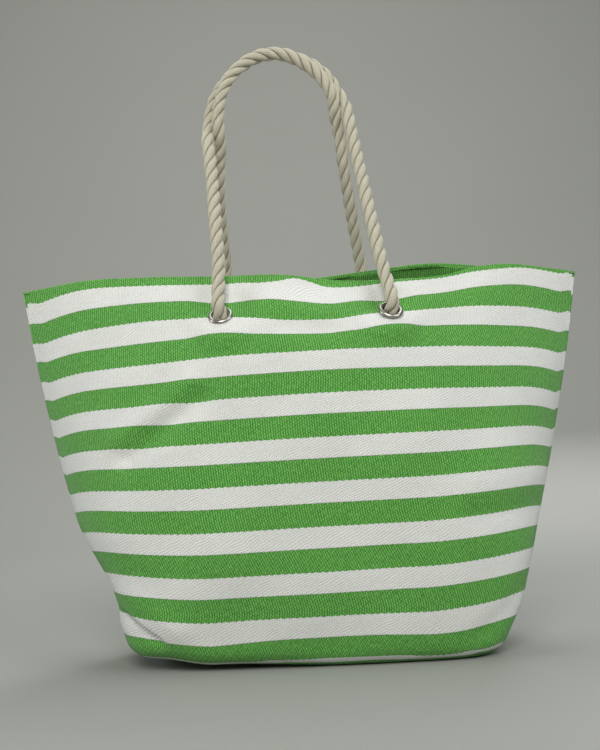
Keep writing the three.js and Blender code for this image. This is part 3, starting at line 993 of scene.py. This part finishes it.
STITCH, STITCH_GAP, STITCH_SIDES, THREAD_RADIUS = 3.0, 0.9, 6, 0.42
HEM_STITCH_REACH = 262
FROM_EDGE = 3                # the pocket's stitches from its edges


def stitch_row(name, line, side):
    """Stitches laid along a line of points; side is the way that the cloth faces there."""
    line, side = np.asarray(line, float), np.asarray(side, float)
    along = line_lengths(line)
    starts = np.arange(STITCH_GAP, along[-1] - STITCH, STITCH + STITCH_GAP)
    turns = np.linspace(0, 2 * math.pi, STITCH_SIDES + 1)[:-1]
    shares = np.array([0.0, 0.12, 0.5, 0.88, 1.0])
    sizes = np.array([0.25, 0.75, 1.0, 0.75, 0.25]) * THREAD_RADIUS
    points, faces = [], []
    for start in starts:
        middle = points_at(start + STITCH * shares, along, line)
        up = points_at(start, along, side)
        ahead = middle[-1] - middle[0]
        ahead /= np.linalg.norm(ahead)
        over = np.cross(ahead, up)
        first = len(points)
        for centre, size in zip(middle, sizes):
            points += [centre + size * (math.cos(t) * over + math.sin(t) * up) for t in turns]
        faces += grid_faces(len(shares), len(turns), start=first, wrap=True).tolist()
        last = len(points) - STITCH_SIDES
        faces += [range(first, first + STITCH_SIDES)[::-1], range(last, last + STITCH_SIDES)]
    obj = mesh_object(name, points, faces)
    obj.data.materials.append(THREAD)
    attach(obj, "bag")


def inner_row(x, z, inset, side_y):
    """A line on the inner face of a layer, and the way that it faces."""
    pad = patch_grid(x, [z + 1, z, z - 1], inset, side_y)
    facing = grid_normals(pad)[1] * -side_y
    return pad[1], facing


def make_stitches():
    hem = np.linspace(-HEM_STITCH_REACH, HEM_STITCH_REACH, 240)
    for label, side_y in SIDES:
        line, side = inner_row(hem, HEM_LOW + 4, FACING_INSET + FACING_SHELL, side_y)
        stitch_row(f"{label}_hem_stitches", line, side)
    edge, low, hem_low = POCKET_HALF_WIDTH - FROM_EDGE, POCKET_LOW + FROM_EDGE, POCKET_TOP - POCKET_HEM + 2
    across = np.linspace(-edge, edge, 90)
    inset = POCKET_INSET + POCKET_SHELL
    line, side = inner_row(across, low, inset, 1)
    stitch_row("pocket_base_stitches", line, side)
    line, side = inner_row(across, hem_low, inset, 1)
    line[:, 1] -= pocket_stand(across, hem_low) + POCKET_HEM_RISE
    stitch_row("pocket_hem_stitches", line, side)
    for hand, side_x in HANDS:
        place = side_x * edge
        rows = [inner_row(np.linspace(place - 1, place + 1, 3), z, inset, 1)
                for z in np.linspace(low, POCKET_TOP - 1, 60)]
        line = np.array([points[1] for points, _ in rows])
        line[:, 1] -= pocket_stand(line[:, 0], line[:, 2])
        stitch_row(f"pocket_{hand}_stitches", line, [facing[1] for _, facing in rows])


def make_cloth():
    for label, side_y in SIDES:
        rim_place = make_panel(label, side_y)
        make_facing(label, side_y, rim_place)
        make_lining(label, side_y)
    make_pocket()
    make_stitches()


make_cloth()

# ---- eyelets

RING_SIDES = 72
# Heights are from the cloth's outer face, along the way that the eyelet faces.
RING_LIFT, BARREL_WALL, BARREL_END = 0.35, 1.0, -7.2
WASHER_INNER, WASHER_OUTER, WASHER_LOW, WASHER_ROUND = 8.7, 11.5, -5.6, 0.5


def lathe_mesh(name, profile):
    """A ring turned about +Z from a closed profile of (radius, height) points."""
    radius, height = np.array(profile, float).T[..., None]
    turn = np.linspace(0, 2 * math.pi, RING_SIDES, endpoint=False)
    points = np.stack([radius * np.cos(turn), radius * np.sin(turn), height + 0 * turn], -1)
    faces = grid_faces(len(profile) + 1, RING_SIDES, wrap=True) % (len(profile) * RING_SIDES)
    return mesh_object(name, points.reshape(-1, 3), faces.tolist())


def arc(centre, radius, start, end, count):
    """Points of an arc from start to end, in degrees."""
    angles = np.radians(np.linspace(start, end, count))
    return [(centre[0] + radius * math.cos(a), centre[1] + radius * math.sin(a)) for a in angles]


def ring_profile():
    """A rolled ring on the cloth's outside, with its barrel."""
    roll = (EYELET_OUTER - EYELET_BORE) / 2
    barrel_outer = EYELET_BORE + BARREL_WALL
    barrel = [(EYELET_BORE, BARREL_END), (barrel_outer, BARREL_END), (barrel_outer, 0.3)]
    return arc((EYELET_BORE + roll, RING_LIFT), roll, 0, 180, 19) + barrel


def washer_profile():
    middle = WASHER_LOW + WASHER_ROUND
    inner = arc((WASHER_INNER + WASHER_ROUND, middle), WASHER_ROUND, 270, 90, 7)
    return inner + arc((WASHER_OUTER, middle), WASHER_ROUND, 90, -90, 7)


def make_eyelets():
    pieces = (("ring", "eyelet", ring_profile()), ("washer_plate", "washer", washer_profile()))
    for label, side_y in SIDES:
        for hand, side_x in HANDS:
            point, outward = eyelet_place(side_x, side_y)
            turn = outward.to_track_quat("Z", "Y").to_matrix().to_4x4()
            for piece, node, profile in pieces:
                obj = lathe_mesh(f"{label}_{hand}_{piece}", profile)
                obj.data.transform(Matrix.Translation(point * MM) @ turn)
                finish_piece(obj, NICKEL, f"{label}_{hand}_{node}")


make_eyelets()

# ---- stage and light

FLOOR_HEIGHT = -0.0004       # just under the bag
FLOOR_RADIUS, FLOOR_BEND, WALL_TOP = 1.4, 2.8, 5.5


def make_stage():
    """A pale floor that curves up into a wall all round."""
    profile = []
    for a in np.linspace(0, math.pi / 2, 28):
        rise = FLOOR_BEND * (1 - math.cos(a))
        profile.append((FLOOR_RADIUS + FLOOR_BEND * math.sin(a), rise + FLOOR_HEIGHT))
    profile.append((FLOOR_RADIUS + FLOOR_BEND, WALL_TOP))
    sides = 96
    turn = np.linspace(0, 2 * math.pi, sides, endpoint=False)
    points = [(r * math.cos(a) / MM, r * math.sin(a) / MM, z / MM) for r, z in profile for a in turn]
    faces = grid_faces(len(profile), sides, wrap=True, flip=True).tolist()
    points.append((0, 0, FLOOR_HEIGHT / MM))
    centre = len(points) - 1
    faces += [(centre, i, (i + 1) % sides) for i in range(sides)]
    floor = mesh_object("floor", points, faces)
    floor.data.materials.append(stage_paint())


def area_light(name, place, size, power, colour, target=(0, 0, 0.3)):
    data = bpy.data.lights.new(name, "AREA")
    data.shape = "DISK"
    data.size = size
    data.energy = power
    data.color = colour
    light = bpy.data.objects.new(name, data)
    bpy.context.collection.objects.link(light)
    light.location = place
    light.rotation_euler = (Vector(target) - Vector(place)).to_track_quat("-Z", "Y").to_euler()


def make_light():
    world = bpy.data.worlds.new("soft_room")
    world.use_nodes = True
    background = world.node_tree.nodes["Background"]
    background.inputs["Color"].default_value = (0.9, 0.95, 1.0, 1)
    background.inputs["Strength"].default_value = 0.4
    bpy.context.scene.world = world
    area_light("key", (-0.2, -1.6, 1.2), 0.9, 20, (1.0, 0.98, 0.94))
    area_light("fill", (1.4, -1.2, 1.3), 1.2, 13, (0.93, 0.97, 1.0))
    area_light("left", (-1.7, -0.45, 0.8), 0.7, 7.5, (0.92, 0.97, 1.0))
    area_light("top", (0.1, 0.4, 2.2), 1.4, 12, (1.0, 1.0, 1.0))
    area_light("behind", (0.9, 1.9, 1.3), 1.2, 16, (1.0, 1.0, 1.0))
    area_light("backdrop", (0.0, 1.5, 2.9), 1.6, 52, (1.0, 1.0, 0.97), target=(0, 4.2, 1.1))
    bpy.context.scene.view_settings.view_transform = "Standard"


make_stage()
make_light()
